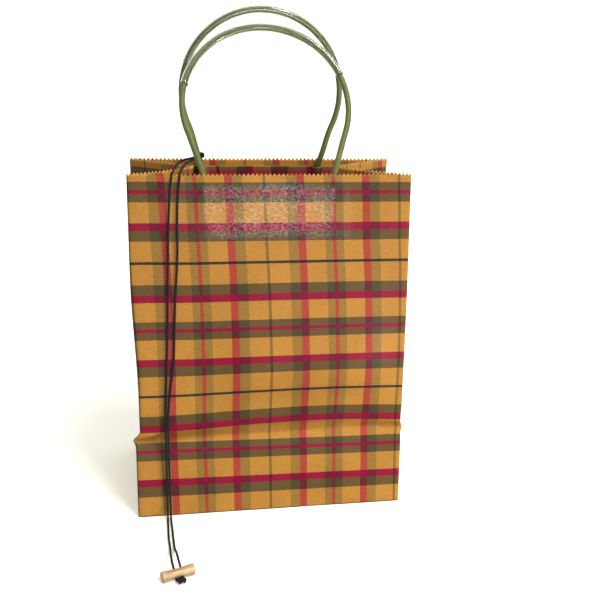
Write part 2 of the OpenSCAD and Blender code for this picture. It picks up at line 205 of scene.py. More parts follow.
def plaid_material(name, brightness, gloss, patch_zone=False, dark_warp=False):
    """Twill of coloured weft and warp yarns, laid out on the sheet's own flat coordinates."""
    s = Shader(name)
    cloth = s.uv("Cloth")
    fine = s.noise(s.mapping(cloth, scale=(900, 900, 1)), 1.0, 1.0)
    wobble = s.math("MULTIPLY", s.math("SUBTRACT", fine, 0.5), 0.0007)
    split = s.tree.nodes.new("ShaderNodeSeparateXYZ")
    s.set(split.inputs[0], cloth)
    across = split.outputs[0]
    down = split.outputs[1]

    def stripes(coordinate, colours):
        distance = s.math("PINGPONG", s.math("ADD", coordinate, wobble), PLAID / 2)
        share = s.math("DIVIDE", distance, PLAID / 2)
        stops = [(e / (PLAID / 2), colours[n]) for e, n in zip(YARN_EDGES, YARN_NAMES)]
        return s.ramp(share, stops, "CONSTANT")

    weft_yarns = {
        "orange": (0.510, 0.233, 0.040),
        "olive": (0.130, 0.078, 0.025),
        "red": (0.290, 0.008, 0.033),
        "black": (0.036, 0.029, 0.024),
    }
    warp_tints = {
        "orange": (1.0, 1.0, 1.0),
        "olive": (0.48, 0.62, 0.80),
        "red": (0.78, 0.12, 0.84),
        "black": (0.31, 0.38, 0.55),
    }
    if dark_warp:
        # seen from its other side, with the dark warp on top
        weft_yarns["red"] = (0.300, 0.034, 0.042)
        weft_yarns["olive"] = (0.185, 0.098, 0.034)
        warp_tints["olive"] = (0.22, 0.48, 0.52)
        warp_tints["black"] = (0.06, 0.12, 0.16)
    weft = stripes(down, weft_yarns)
    warp = stripes(across, warp_tints)
    diagonal = s.math("PINGPONG", s.math("ADD", across, down), 0.0011)
    twill = s.range(s.math("DIVIDE", diagonal, 0.0011), 0.25, 0.75)
    threads = s.math("DIVIDE", s.math("PINGPONG", down, 0.0004), 0.0004)
    speckle = s.noise(s.mapping(cloth, scale=(700, 1500, 1)), 1.0, 2.0)
    picks = s.math("DIVIDE", s.math("PINGPONG", down, 0.00085), 0.00085)
    weave = s.math("ADD", s.math("MULTIPLY", twill, 0.45), s.math("MULTIPLY", speckle, 0.45))
    weave = s.math("ADD", weave, s.math("MULTIPLY", picks, 0.4))
    dash = s.range(weave, 0.37, 0.95, 0.0, 1.3)
    # how far each yarn evens out the dashes that its crossings show
    solid_warp = {"orange": [0] * 3, "olive": [0.1] * 3, "red": [0.62] * 3, "black": [0.2] * 3}
    solid_weft = {"orange": [0.2] * 3, "olive": [0.6] * 3, "red": [0.6] * 3, "black": [0.4] * 3}
    for solid in (stripes(across, solid_warp), stripes(down, solid_weft)):
        dash = s.math("ADD", dash, s.math("MULTIPLY", s.math("SUBTRACT", 0.96, dash), solid))
    colour = s.mix(dash, (1, 1, 1, 1), warp)
    colour = s.mix(1.0, weft, colour, "MULTIPLY")
    worn = s.noise(s.mapping(cloth, scale=(26, 19, 1)), 1.0, 3.0)
    grain = s.noise(s.mapping(cloth, scale=(170, 1500, 1)), 1.0, 3.0)
    light = s.math("ADD", s.range(worn, 0.3, 0.7, 0.9, 1.06), s.range(grain, 0.25, 0.75, -0.2, 0.2))
    light = s.math("ADD", light, s.range(twill, 0.0, 1.0, 0.11, -0.11))
    # brightness scales the cloth's colour; above the outside's value it is painted light that makes up
    # for the shade inside the bag
    light = s.math("MULTIPLY", light, brightness)
    shade = s.add("CombineColor", {0: light, 1: light, 2: light})
    colour = s.mix(1.0, colour, shade, "MULTIPLY")
    height = s.math("ADD", s.math("MULTIPLY", twill, 0.5), s.math("MULTIPLY", threads, 0.35))
    normal = s.bump(height, 0.35, 0.00012)
    rough = s.range(speckle, 0.3, 0.7, gloss, gloss + 0.16)
    if patch_zone:
        # where the handle patch is glued behind, the film lies smooth and shines in spots
        zone = s.add("Attribute", {}, output=2, attribute_name="patch_zone")
        mottle = s.noise(s.mapping(cloth, scale=(330, 420, 1)), 1.0, 3.0, 0.7)
        patches = s.noise(s.mapping(cloth, scale=(45, 60, 1)), 1.0, 2.0)
        spots = s.math("MULTIPLY", s.range(mottle, 0.40, 0.62), s.range(patches, 0.25, 0.6, 0.35, 1.0))
        shine = s.math("MULTIPLY", zone, spots)
        dull = s.math("SUBTRACT", 1.0, shine)
        rough = s.math("ADD", s.math("MULTIPLY", rough, dull), s.math("MULTIPLY", shine, 0.2))
        pits = s.noise(s.mapping(cloth, scale=(620, 620, 1)), 1.0, 2.0)
        normal = s.bump(s.math("MULTIPLY", pits, zone), 0.35, 0.0001, normal)
        s.set(s.skin.inputs["Coat Weight"], s.math("MULTIPLY", shine, 0.28))
        s.set(s.skin.inputs["Coat Roughness"], 0.16)
    return s.finish(
        Base_Color=colour,
        Roughness=rough,
        Normal=normal,
        Specular_IOR_Level=0.12,
    )


def edge_material():
    """Cut edges of the cloth, where pale yellow film and loose thread ends show."""
    s = Shader("cloth_cut_edge")
    speckle = s.noise(s.mapping(s.uv("Cloth"), scale=(800, 800, 1)), 1.0, 2.0)
    colour = s.ramp(speckle, [(0.3, (0.42, 0.26, 0.07)), (0.7, (0.80, 0.66, 0.24))])
    normal = s.bump(speckle, 0.5, 0.0002)
    return s.finish(Base_Color=colour, Roughness=0.75, Normal=normal)


def handle_material():
    """Olive cord, a little cloudy along its length."""
    s = Shader("olive_handle_cord")
    along = s.uv("Run")
    wrap = s.noise(s.mapping(along, scale=(900, 90, 1)), 1.0, 3.0)
    cloudy = s.noise(s.mapping(along, scale=(60, 25, 1)), 1.0, 2.0)
    share = s.math("ADD", s.math("MULTIPLY", wrap, 0.55), s.math("MULTIPLY", cloudy, 0.45))
    colour = s.ramp(share, [(0.32, (0.088, 0.098, 0.026)), (0.68, (0.168, 0.182, 0.052))])
    normal = s.bump(wrap, 0.35, 0.00015)
    return s.finish(Base_Color=colour, Roughness=0.45, Normal=normal, Specular_IOR_Level=0.3)


def sleeve_material():
    """Clear plastic tube, scuffed a little by use."""
    s = Shader("clear_sleeve_plastic")
    along = s.uv("Run")
    haze = s.noise(s.mapping(along, scale=(130, 22, 1)), 1.0, 2.0)
    scuffs = s.noise(s.mapping(along, scale=(1500, 60, 1)), 1.0, 2.0)
    colour = s.ramp(haze, [(0.3, (0.84, 0.84, 0.66)), (0.7, (0.93, 0.93, 0.80))])
    rough = s.range(scuffs, 0.3, 0.75, 0.09, 0.14)
    return s.finish(
        Base_Color=colour,
        Roughness=rough,
        IOR=1.5,
        Transmission_Weight=0.96,
        Specular_IOR_Level=0.9,
        Normal=s.bump(haze, 0.02, 0.0001),
    )


def black_cord_material():
    s = Shader("black_cotton_cord")
    along = s.uv("Run")
    fibres = s.noise(s.mapping(along, scale=(1800, 500, 1), rotation=(0, 0, 0.6)), 1.0, 3.0)
    colour = s.ramp(fibres, [(0.3, (0.004, 0.004, 0.005)), (0.75, (0.020, 0.018, 0.019))])
    normal = s.bump(fibres, 0.6, 0.00018)
    return s.finish(Base_Color=colour, Roughness=0.8, Normal=normal, Specular_IOR_Level=0.2)


def wood_material(turn):
    """Pale turned wood, its grain along the toggle."""
    s = Shader("turned_toggle_wood")
    centre = (Vector(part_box("toggle")[0]) + Vector(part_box("toggle")[1])) / 2
    moved = s.add("VectorMath", {0: s.place(), 1: centre}, operation="SUBTRACT")
    turned = s.mapping(moved, rotation=(0, 0, -turn))
    stretched = s.mapping(turned, scale=(30, 330, 330))
    figure = s.noise(stretched, 1.0, 4.0, 0.6)
    pores = s.noise(s.mapping(turned, scale=(160, 2200, 2200)), 1.0, 2.0)
    colour = s.ramp(
        figure,
        [(0.28, (0.32, 0.175, 0.070)), (0.45, (0.52, 0.345, 0.155)), (0.62, (0.62, 0.455, 0.24))],
    )
    dark = s.range(pores, 0.35, 0.55, 0.72, 1.0)
    shade = s.add("CombineColor", {0: dark, 1: dark, 2: dark})
    colour = s.mix(1.0, colour, shade, "MULTIPLY")
    normal = s.bump(pores, 0.3, 0.0001)
    return s.finish(Base_Color=colour, Roughness=0.48, Normal=normal, Coat_Weight=0.2, Coat_Roughness=0.3)


def board_material():
    s = Shader("grey_cardboard")
    place = s.place()
    pulp = s.noise(s.mapping(place, scale=(500, 220, 500)), 1.0, 4.0, 0.65)
    cloudy = s.noise(s.mapping(place, scale=(18, 30, 18)), 1.0, 2.0)
    share = s.math("ADD", s.math("MULTIPLY", pulp, 0.6), s.math("MULTIPLY", cloudy, 0.4))
    colour = s.ramp(share, [(0.3, (0.22, 0.19, 0.15)), (0.7, (0.40, 0.36, 0.30))])
    return s.finish(Base_Color=colour, Roughness=0.85, Normal=s.bump(pulp, 0.4, 0.0002))


plaid_out = plaid_material("plaid_cloth_outside", 0.90, 0.36, patch_zone=True)
# the inside and the patches are the same cloth as the outside, painted lighter to stand in for the light
# that reaches into the bag
plaid_in_painted_light = plaid_material("plaid_cloth_inside_painted_light", 1.35, 0.6)
plaid_patch = plaid_material("plaid_patch", 1.5, 0.55, dark_warp=True)
cut_edge = edge_material()
olive_cord = handle_material()
clear_plastic = sleeve_material()
black_cord = black_cord_material()
cardboard = board_material()

# --- mesh helpers ---


def make_object(name, vertices, faces, uvs, uv_name, materials):
    """Smooth mesh object from vertices, faces and one uv pair per vertex."""
    mesh = bpy.data.meshes.new(name)
    mesh.from_pydata([tuple(v) for v in vertices], [], [tuple(f) for f in faces])
    layer = mesh.uv_layers.new(name=uv_name)
    corners = np.zeros(len(mesh.loops), dtype=np.int32)
    mesh.loops.foreach_get("vertex_index", corners)
    layer.data.foreach_set("uv", np.asarray(uvs, np.float32)[corners].ravel())
    mesh.polygons.foreach_set("use_smooth", [True] * len(mesh.polygons))
    for material in materials:
        mesh.materials.append(material)
    mesh.update()
    thing = bpy.data.objects.new(name, mesh)
    bpy.context.collection.objects.link(thing)
    return thing


def smooth_route(points, step):
    """Even points along a Catmull-Rom curve through the route's points."""
    p = np.asarray(points, float)
    ends = np.vstack([2 * p[0] - p[1], p, 2 * p[-1] - p[-2]])
    dense = []
    for i in range(1, len(ends) - 2):
        a, b, c, d = ends[i - 1], ends[i], ends[i + 1], ends[i + 2]
        tb = np.linalg.norm(b - a) ** 0.5 + 1e-9
        tc = tb + np.linalg.norm(c - b) ** 0.5
        td = tc + np.linalg.norm(d - c) ** 0.5 + 1e-9
        for t in np.linspace(tb, tc, 12, endpoint=False):
            ab = (tb - t) / tb * a + t / tb * b
            bc = (tc - t) / (tc - tb) * b + (t - tb) / (tc - tb) * c
            cd = (td - t) / (td - tc) * c + (t - tc) / (td - tc) * d
            abc = (tc - t) / tc * ab + t / tc * bc
            bcd = (td - t) / (td - tb) * bc + (t - tb) / (td - tb) * cd
            dense.append((tc - t) / (tc - tb) * abc + (t - tb) / (tc - tb) * bcd)
    dense.append(p[-1])
    dense = np.array(dense)
    run = np.concatenate([[0], np.cumsum(np.linalg.norm(np.diff(dense, axis=0), axis=1))])
    count = max(2, int(round(run[-1] / step)) + 1)
    even = np.linspace(0, run[-1], count)
    return np.column_stack([interp(even, run, dense[:, k]) for k in range(3)]), even


def frames_along(route):
    """Two directions square to the route at each point, carried along without twist."""
    tangent = np.gradient(route, axis=0)
    tangent /= np.linalg.norm(tangent, axis=1)[:, None]
    start = np.array([1.0, 0, 0]) if abs(tangent[0][0]) < 0.9 else np.array([0, 0, 1.0])
    side = start - tangent[0] * (start @ tangent[0])
    sides = []
    for t in tangent:
        side = side - t * (side @ t)
        side = side / np.linalg.norm(side)
        sides.append(side)
    sides = np.array(sides)
    return sides, np.cross(tangent, sides)


def tube(name, route, run, radius, material, sides, lay=None, depth=0.0):
    """Cord of three strands along a route. lay is the length of one twist, depth how deep it cuts."""
    u, v = frames_along(route)
    rings = len(route)
    angle = np.linspace(0, 2 * math.pi, sides, endpoint=False)
    vertices = []
    uvs = []
    for i in range(rings):
        turn = 0 if lay is None else 2 * math.pi * run[i] / lay
        r = radius * (1 - depth * (0.5 - 0.5 * np.cos(3 * (angle - turn))))
        ring = route[i] + r[:, None] * (np.cos(angle)[:, None] * u[i] + np.sin(angle)[:, None] * v[i])
        vertices.extend(ring)
        uvs.extend([(a * radius, run[i]) for a in angle])
    faces = []
    for i in range(rings - 1):
        for k in range(sides):
            a = i * sides + k
            b = i * sides + (k + 1) % sides
            faces.append((a, b, b + sides, a + sides))
    faces.append(tuple(range(sides - 1, -1, -1)))
    faces.append(tuple((rings - 1) * sides + k for k in range(sides)))
    return make_object(name, vertices, faces, uvs, "Run", [material])


# --- black cord ---

TOGGLE_TURN = math.radians(17.7)
HOLE_RISE = math.radians(42)
toggle_pos = np.array([-0.0939, -0.1723, 0.00487])
along = np.array([math.cos(TOGGLE_TURN), math.sin(TOGGLE_TURN), 0])
ahead = np.array([math.sin(TOGGLE_TURN), -math.cos(TOGGLE_TURN), 0])
hole_dir = math.sin(HOLE_RISE) * np.array([0, 0, 1]) - math.cos(HOLE_RISE) * ahead
knot_pos = toggle_pos + 0.0076 * ahead + 0.0006 * along + np.array([0, 0, 0.0031 - toggle_pos[2]])


def in_hole(side, distance):
    return toggle_pos + (0.0004 + side * 0.003) * along + distance * hole_dir


# Routes of the two strands in millimetres, the same points as in part.scad
left_points = [
    (-64, 34.6, 333), (-68.5, 31, 332), (-74, 26.5, 331.4), (-79.5, 19.5, 331),
    (-83, 9, 330.7), (-85.5, -4, 330.4), (-87.4, -18, 330.1), (-88.7, -32, 330),
    (-89.5, -42, 330.2), (-90, -44.8, 329.8), (-90.4, -46.6, 328.2), (-90.8, -47.2, 326),
    (-92, -47.9, 317), (-93, -49.2, 306), (-94.3, -51.7, 284), (-95.2, -54.2, 262),
    (-96, -56.7, 240), (-96.8, -59.8, 213), (-97.6, -62.8, 187), (-98.8, -65.9, 160),
    (-100.2, -69.1, 132), (-101.3, -71.8, 108), (-101.6, -73.6, 82), (-101.6, -75.2, 56),
    (-101.6, -76.6, 32), (-101.7, -77.8, 16), (-101.8, -79.8, 7), (-101.8, -84, 2.2),
    (-101.7, -90, 1.1), (-101.5, -102, 1.1), (-101.2, -115, 1.1), (-100.3, -128, 1.6),
    (-99.9, -138, 4), (-99.8, -147, 8.4), (-99.7, -154, 12), (-99.6, -159, 13.9),
    (-99.2, -163, 13.7),
]
right_points = [
    (-64.2, 34.4, 330.8), (-67.6, 27, 331.2), (-71.2, 18, 331.2), (-75, 8, 331),
    (-78.2, -5, 330.6), (-80.4, -18, 330.2), (-81.8, -32, 330), (-82.6, -42, 330.2),
    (-83, -44.8, 329.8), (-83.3, -46.6, 328.2), (-83.6, -47.2, 326), (-84.7, -47.9, 317),
    (-85.7, -49.2, 306), (-86.6, -51.7, 284), (-86.8, -54.2, 262), (-88, -56.7, 240),
    (-90, -59.8, 213), (-91.2, -62.8, 187), (-92.6, -65.9, 160), (-96.2, -69.1, 132),
    (-98.7, -71.8, 108), (-99.3, -73.6, 82), (-99.2, -75.2, 56), (-99.1, -76.6, 32),
    (-98.9, -77.8, 16), (-98.8, -79.8, 7), (-98.7, -84, 2.2), (-98.4, -90, 1.1),
    (-97.7, -102, 1.1), (-97.1, -115, 1.1), (-96.4, -128, 1.6), (-95.6, -138, 4),
    (-95, -146, 8.4), (-94.7, -152.5, 12), (-94.3, -157.5, 13.8), (-93.7, -161.2, 13.6),
]


def strand_route(points, side):
    metres = [np.array(p) / 1000 for p in points]
    holes = [in_hole(side, d / 1000) for d in (10.5, 3, -3, -5.6)]
    return metres + holes + [knot_pos + side * 0.0012 * along]


def black_piece(name, points, step, radius, depth=0.13):
    """A stretch of the black cord through some points, and its length."""
    route, run = smooth_route(points, step)
    return tube(name, route, run, radius, black_cord, sides=12, lay=CORD_LAY, depth=depth), run[-1]


def make_strand(name, points, side):
    hand_points = strand_route(points, side)
    strand, length = black_piece(name, hand_points, 0.0007, 1.07 * CORD_R)
    return strand, hand_points, length


left_strand, left_path, left_length = make_strand("toggle_cord_left_strand", left_points, -1)
right_strand, right_path, right_length = make_strand("toggle_cord_right_strand", right_points, 1)

# --- walls: places shared with part.scad ---


def wall_depth(z):
    """Distance of a wall's outer face from the middle of the bag."""
    return interp(z, [0, 0.079, 0.105, BAG_H], [0.075, 0.0675, 0.0695, MOUTH_Y])


def wall_point(x, inward, up, front=True):
    """Place from the inside face of a wall at its top edge: across, into the bag, up the wall."""
    y = CLOTH_T - MOUTH_Y + inward * math.cos(WALL_LEAN) + up * math.sin(WALL_LEAN)
    z = BAG_H - inward * math.sin(WALL_LEAN) + up * math.cos(WALL_LEAN)
    return np.array([x, y if front else -y, z])


# --- the sack: one sheet, lofted round the bag ---

COLUMN = 0.0020
TOOTH = 0.0025
# Where the sheet's columns lie: distance along its width from the front's left corner
flap_w = 0.014
side_w = 2 * SIDE_LEAF
front_w = 2 * HALF_W

# The sheet runs from its seam flap inside the back right corner, clockwise seen from above:
# flap, right side, front, left side, back
parts_of_sheet = [
    ("flap", flap_w),
    ("right", side_w),
    ("front", front_w),
    ("left", side_w),
    ("back", front_w),
]
column_part = []
column_share = []
for part_name, part_width in parts_of_sheet:
    pieces = int(round(part_width / COLUMN))
    for k in range(pieces):
        column_part.append(part_name)
        column_share.append(k / pieces)
column_part.append("back")
column_share.append(1.0)
column_part = np.array(column_part)
column_share = np.array(column_share)
n_columns = len(column_part)

low_rows = [0.0, 0.0012, 0.003, 0.006, 0.011, 0.018, 0.026, 0.034, 0.042, 0.050, 0.057, 0.063]
crease_rows = list(np.arange(0.067, 0.1001, 0.0015))
high_rows = list(np.linspace(0.104, BAG_H - 0.0045, 58)) + [BAG_H - 0.0022, BAG_H]
rows = np.array(low_rows + crease_rows + high_rows)
n_rows = len(rows)

# The crease round the bag: how deep it is pressed in, its height, and the height of the
# fold that hangs over it, across the front from left to right
ACROSS = [-0.130, -0.105, -0.060, -0.010, 0.030, 0.075, 0.113, 0.130]
CREASE_DEPTH = [0.005, 0.008, 0.0055, 0.0035, 0.0035, 0.002, 0.0045, 0.004]
CREASE_HEIGHT = [0.0765, 0.0757, 0.078, 0.079, 0.080, 0.082, 0.0797, 0.079]
FOLD_HEIGHT = [0.0795, 0.0865, 0.0893, 0.0925, 0.0925, 0.0928, 0.088, 0.0855]


def soft_interp(x, values):
    """Values across the front, with their corners rounded off."""
    x = np.asarray(x, float)
    near = [interp(x + shift, ACROSS, values) for shift in (-0.012, -0.006, 0, 0.006, 0.012)]
    return np.mean(near, axis=0)


def crease_in(x, z):
    """How far the cloth is pressed in at the crease."""
    depth = soft_interp(x, CREASE_DEPTH)
    low = soft_interp(x, CREASE_HEIGHT)
    high = soft_interp(x, FOLD_HEIGHT)
    above = np.clip((high - z) / (high - low), 0, 1)
    below = np.clip((z - low + 0.013) / 0.013, 0, 1)
    return depth * np.where(z > low, above, below**1.5)


def belly_out(x, z):
    """How far the front sags out past its flat wall, clear of the cord that lies on it."""
    middle = smoothstep(x, -0.078, 0.0) * (1 - smoothstep(x, 0.075, 0.128))
    bulge = interp(
        z,
        [0.090, 0.105, 0.130, 0.148, 0.160, 0.215, 0.262],
        [0, 0.25, 0.8, 1, 0.95, 0.45, 0],
    )
    sag = (0.0014 + 0.0080 * middle) * bulge
    lip = 0.0009 * bell(z, soft_interp(x, FOLD_HEIGHT) + 0.002, 0.004)
    hollow = -0.0012 * middle * bell(z, 0.118, 0.012)
    low = 0.0012 * middle * bell(z, 0.045, 0.018)
    return sag + lip + hollow + low


def patch_relief(x, z):
    """Relief of the front from the patch and the handle tails glued behind it."""
    inside = smoothstep(x, -0.103, -0.099) * (1 - smoothstep(x, 0.077, 0.081))
    inside = inside * smoothstep(z, 0.266, 0.270) * (1 - smoothstep(z, 0.3195, 0.323))
    tails = sum(bell(x, foot, 0.0042) for foot in (-0.0624, 0.0576))
    tails = tails * smoothstep(z, 0.279, 0.288) * (1 - smoothstep(z, 0.318, 0.328))
    clear = smoothstep(x, -0.080, -0.074)
    return 0.0003 * inside + 0.0007 * tails * clear


def ripple(x, z, seed, size):
    """Slow waves of a cloth that has been folded and used."""
    x, z = np.broadcast_arrays(x, z)
    flat = [
        noise.noise(Vector((a * 14 + seed, b * 9, seed)))
        + 0.5 * noise.noise(Vector((a * 37, b * 21 + seed, 3)))
        for a, b in zip(x.ravel(), z.ravel())
    ]
    return size * np.array(flat).reshape(x.shape)


def corner_x(z, side):
    """Place of a corner edge across the bag: in above the crease, and out in an ear at it."""
    pull = {-1: 0.0042, 1: 0.0014}[side]
    pulled = pull * smoothstep(z, 0.080, 0.088) * (1 - smoothstep(z, 0.115, 0.24))
    ear = 0.0022 * bell(z, 0.0785, 0.0035)
    return side * (HALF_W - pulled + ear)


def between_corners(x, z):
    """Place across a wall, moved near each corner as its edge is."""
    near_left = 1 - smoothstep(x + HALF_W, 0, 0.022)
    near_right = 1 - smoothstep(HALF_W - x, 0, 0.022)
    return x + near_left * (corner_x(z, -1) + HALF_W) + near_right * (corner_x(z, 1) - HALF_W)


def front_surface(x, z):
    """Outer face of the front at a place across the sheet and a height."""
    quiet = smoothstep(x, -0.080, -0.066) * smoothstep(BAG_H - z, 0.0, 0.03)
    out = belly_out(x, z) - crease_in(x, z) + patch_relief(x, z)
    out = out + quiet * ripple(x, z, 2.0, 0.0005)
    return between_corners(x, z), -(wall_depth(z) + out), z, out


def back_surface(x, z):
    """Outer face of the back, which sags less than the front."""
    middle = np.cos(np.clip(x / HALF_W, -1, 1) * np.pi / 2)
    out = 0.0026 * middle * np.sin(np.pi * np.clip((z - 0.09) / 0.225, 0, 1)) ** 1.5
    out = out - crease_in(-0.7 * x - 0.02, z) * 0.8 + ripple(x, z, 7.0, 0.0006)
    return between_corners(x, z), wall_depth(z) + out, z, out


# Height at which the sides fold out to the base
SIDE_CREASE = 0.079


def side_surface(across, z, side):
    """Outer face of a folded side. across runs from the front corner to the back corner."""
    corner = side * corner_x(z, side)
    depth = wall_depth(z) - CLOTH_T
    fold_x = interp(z, [0, SIDE_CREASE, 0.105, BAG_H], [HALF_W, 0.0957, 0.0999, 0.0687])
    share = np.clip(z / SIDE_CREASE, 0, 1)
    seam = SIDE_LEAF * share
    half = np.where(across < SIDE_LEAF, across, side_w - across)
    t = np.clip(half / np.maximum(seam, 1e-4), 0, 1)
    low = z < SIDE_CREASE
    leaf_x = corner + (fold_x - corner) * np.where(low, t, half / SIDE_LEAF)
    inner_y = np.where(low, depth * (1 - share), 0)
    leaf_y = np.where(low, depth + (inner_y - depth) * t, depth * (1 - half / SIDE_LEAF))
    middle = np.clip((half - seam) / np.maximum(SIDE_LEAF - seam, 1e-4), 0, 1)
    leaf_y = np.where(low & (half > seam), inner_y * (1 - middle), leaf_y)
    arch = np.sin(np.pi * half / SIDE_LEAF)
    bow = 0.0022 * arch * np.sin(np.pi * np.clip((z - 0.03) / 0.28, 0, 1))
    forward = 0.0050 * arch * smoothstep(z, 0.20, BAG_H) * (across < SIDE_LEAF)
    leaf_y = leaf_y + forward
    press = 0.0014 * bell(z, 0.081, 0.004) * arch
    wave = ripple(across + side, z, 11.0, 0.0007) * arch
    leaf_x = leaf_x - bow + press + wave * smoothstep(z, 0.0, 0.03)
    sign = np.where(across < SIDE_LEAF, -1, 1)
    return side * leaf_x, sign * leaf_y, z


# Distance of the first thin red weft stripe below the top edge
WEFT_START = 0.016


def weft_place(x, z, out):
    """Distance down the plaid from its first thin red stripe, with the creep at the crease."""
    low = soft_interp(x, CREASE_HEIGHT)
    high = soft_interp(x, FOLD_HEIGHT)
    hump = interp(x, [-0.11, -0.03, 0.02, 0.065, 0.09, 0.13], [0, 0.7, 1, 0.98, 0.75, 0.3])
    above = interp(
        z,
        [0.086, 0.110, 0.146, 0.175, 0.204, 0.222, 0.242, 0.262, 0.306, BAG_H],
        [-0.0031, -0.0016, -0.0015, -0.0011, -0.0019, -0.0022, -0.0014, -0.0004, 0, 0.0007],
    )
    above = above + 0.0008 * (1 - smoothstep(x, -0.12, -0.07))
    above = above + hump * interp(z, [0.09, 0.126, 0.165], [0.006, 0.0026, 0])
    below = (0.0033 - 0.014 * x) * interp(z, [0, 0.030, 0.066], [0, 0.85, 1])
    below = below - interp(z, [0, 0.017, 0.046, 0.066], [0, 0.0012, 0.0009, 0.0003])
    share = smoothstep(z, low, high)
    return BAG_H - z + below + (above - below) * share + 0.42 * out - WEFT_START


def warp_place(x, z):
    """Place across the plaid on the front, whose warp leans a little to the right going down."""
    lean = 0.006 * (1 - z / BAG_H) * smoothstep(x, -0.130, -0.105)
    drawn_in = interp(
        x,
        [-0.130, -0.101, -0.069, -0.032, -0.008, 0.018],
        [0, 0.0004, 0.0015, 0.0021, 0.0014, 0],
    )
    bowed = interp(
        z,
        [0.078, 0.108, 0.147, 0.200, 0.240, 0.270, 0.300, BAG_H],
        [0.0003, 0, -0.0012, -0.0013, -0.0008, 0.0003, 0.0008, 0.0017],
    )
    return x + 0.0676 - lean + drawn_in + bowed


vertices = np.zeros((n_rows, n_columns, 3))
cloth_uv = np.zeros((n_rows, n_columns, 2))
for part_name in ("flap", "right", "front", "left", "back"):
    chosen = np.where(column_part == part_name)[0]
    share = column_share[chosen][None, :]
    z = rows[:, None] * np.ones_like(share)
    if part_name == "front":
        x = HALF_W - share * front_w
        px, py, pz, out = front_surface(x + 0 * z, z)
        u = warp_place(x, z)
        v = weft_place(x + 0 * z, z, out)
    elif part_name == "back":
        x = share * front_w - HALF_W
        px, py, pz, out = back_surface(x + 0 * z, z)
        u = x - 0.0456 - 0.004 * (1 - z / BAG_H)
        v = weft_place(-x + 0 * z, z, 0.5 * out) - 0.0042
    elif part_name in ("left", "right"):
        side = 1 if part_name == "right" else -1
        from_front = share * side_w if part_name == "left" else (1 - share) * side_w
        px, py, pz = side_surface(from_front + 0 * z, z, side)
        stretch = 1.044 if part_name == "right" else 0.962
        u = warp_place(side * (HALF_W + stretch * from_front), z)
        v = weft_place(side * HALF_W + 0 * z, z, 0)
    else:
        x = HALF_W - flap_w + share * flap_w - 0.0016
        pz = 0.006 + z * (BAG_H - 0.009) / BAG_H
        px, py = back_surface(x + 0 * z, pz)[:2]
        py = py - CLOTH_T - 0.0003
        u = warp_place(HALF_W + 1.044 * side_w + flap_w - share * flap_w, z)
        v = weft_place(HALF_W + 0 * z, z, 0)
    vertices[:, chosen] = np.stack([px + 0 * z, py + 0 * z, pz + 0 * z], axis=2)
    cloth_uv[:, chosen] = np.stack([u + 0 * z, v + 0 * z], axis=2)

# soften the folds; the seam flap and the corners stay as they are
keep = (column_part[1:-1] == "flap") | (column_share[1:-1] == 0)
for _ in range(2):
    middle = 0.5 * vertices[:, 1:-1] + 0.25 * (vertices[:, :-2] + vertices[:, 2:])
    vertices[:, 1:-1] = np.where(keep[None, :, None], vertices[:, 1:-1], middle)

# the top edge is not cut quite level: it stands higher at the back
edge_y = vertices[-1, :, 1]
lift = 0.0012 + 0.0010 * smoothstep(edge_y, -0.02, 0.04)
lift = np.where(column_part == "flap", 0, lift)
for row, share in ((-1, 1.0), (-2, 0.6), (-3, 0.25)):
    vertices[row, :, 2] += share * lift
    cloth_uv[row, :, 1] -= share * lift

# pinked top edge: every other column is cut lower
tooth = np.where(np.arange(n_columns) % 2 == 1, TOOTH, 0.0)
cloth_uv[-1, :, 1] += tooth
vertices[-1, :, 2] -= tooth
cloth_uv[-2, :, 1] += 0.3 * tooth
vertices[-2, :, 2] -= 0.3 * tooth

# --- the sheet's base flaps and tabs, folded in under the bag ---

LAP = 0.013
# How far in from the wall each row of a flap or tab lies
near_reach = [0.0, 0.0015, 0.005, 0.012, 0.022, 0.034]
flap_reach = near_reach + [0.046, 0.058, 0.066, 0.0735, 0.0752, 0.080, 0.087]
tab_reach = near_reach + [0.044]

points = [tuple(p) for p in vertices.reshape(-1, 3)]
uvs = [tuple(p) for p in cloth_uv.reshape(-1, 2)]
faces = []
for r in range(n_rows - 1):
    for c in range(n_columns - 1):
        a = r * n_columns + c
        faces.append((a, a + n_columns, a + n_columns + 1, a + 1))


def add_flap(part_name, reach, place):
    """Rows of cloth that run in from the bottom edge of one wall."""
    chosen = np.where(column_part == part_name)[0]
    after = chosen[-1] + 1
    columns = list(chosen[1:-1]) + ([after - 1] if after < n_columns else [])
    previous = columns
    for distance in reach[1:]:
        current = []
        for c in columns:
            points.append(tuple(place(vertices[0, c], distance)))
            uvs.append((cloth_uv[0, c, 0], cloth_uv[0, c, 1] + distance))
            current.append(len(points) - 1)
        for j in range(len(columns) - 1):
            faces.append((current[j], previous[j], previous[j + 1], current[j + 1]))
        previous = current


def front_flap_place(bottom, reach):
    narrow = bottom[0] * (HALF_W - 0.002) / HALF_W
    return (narrow, bottom[1] + reach + 0.0003, 0.00005)


def back_flap_place(bottom, reach):
    narrow = bottom[0] * (HALF_W - 0.002) / HALF_W
    y = bottom[1] - reach - 0.0003
    lift = 0.0009 * (1 - smoothstep(y, LAP + 0.0004, LAP + 0.0018))
    return (narrow, y, 0.00005 + lift)


def tab_place(bottom, reach):
    side = 1 if bottom[0] > 0 else -1
    limit = 0.0702 - reach / 2
    return (side * (abs(bottom[0]) - 0.0012 - reach), np.clip(bottom[1], -limit, limit), 0.00175)


add_flap("front", flap_reach, front_flap_place)
add_flap("back", flap_reach, back_flap_place)
add_flap("left", tab_reach, tab_place)
add_flap("right", tab_reach, tab_place)

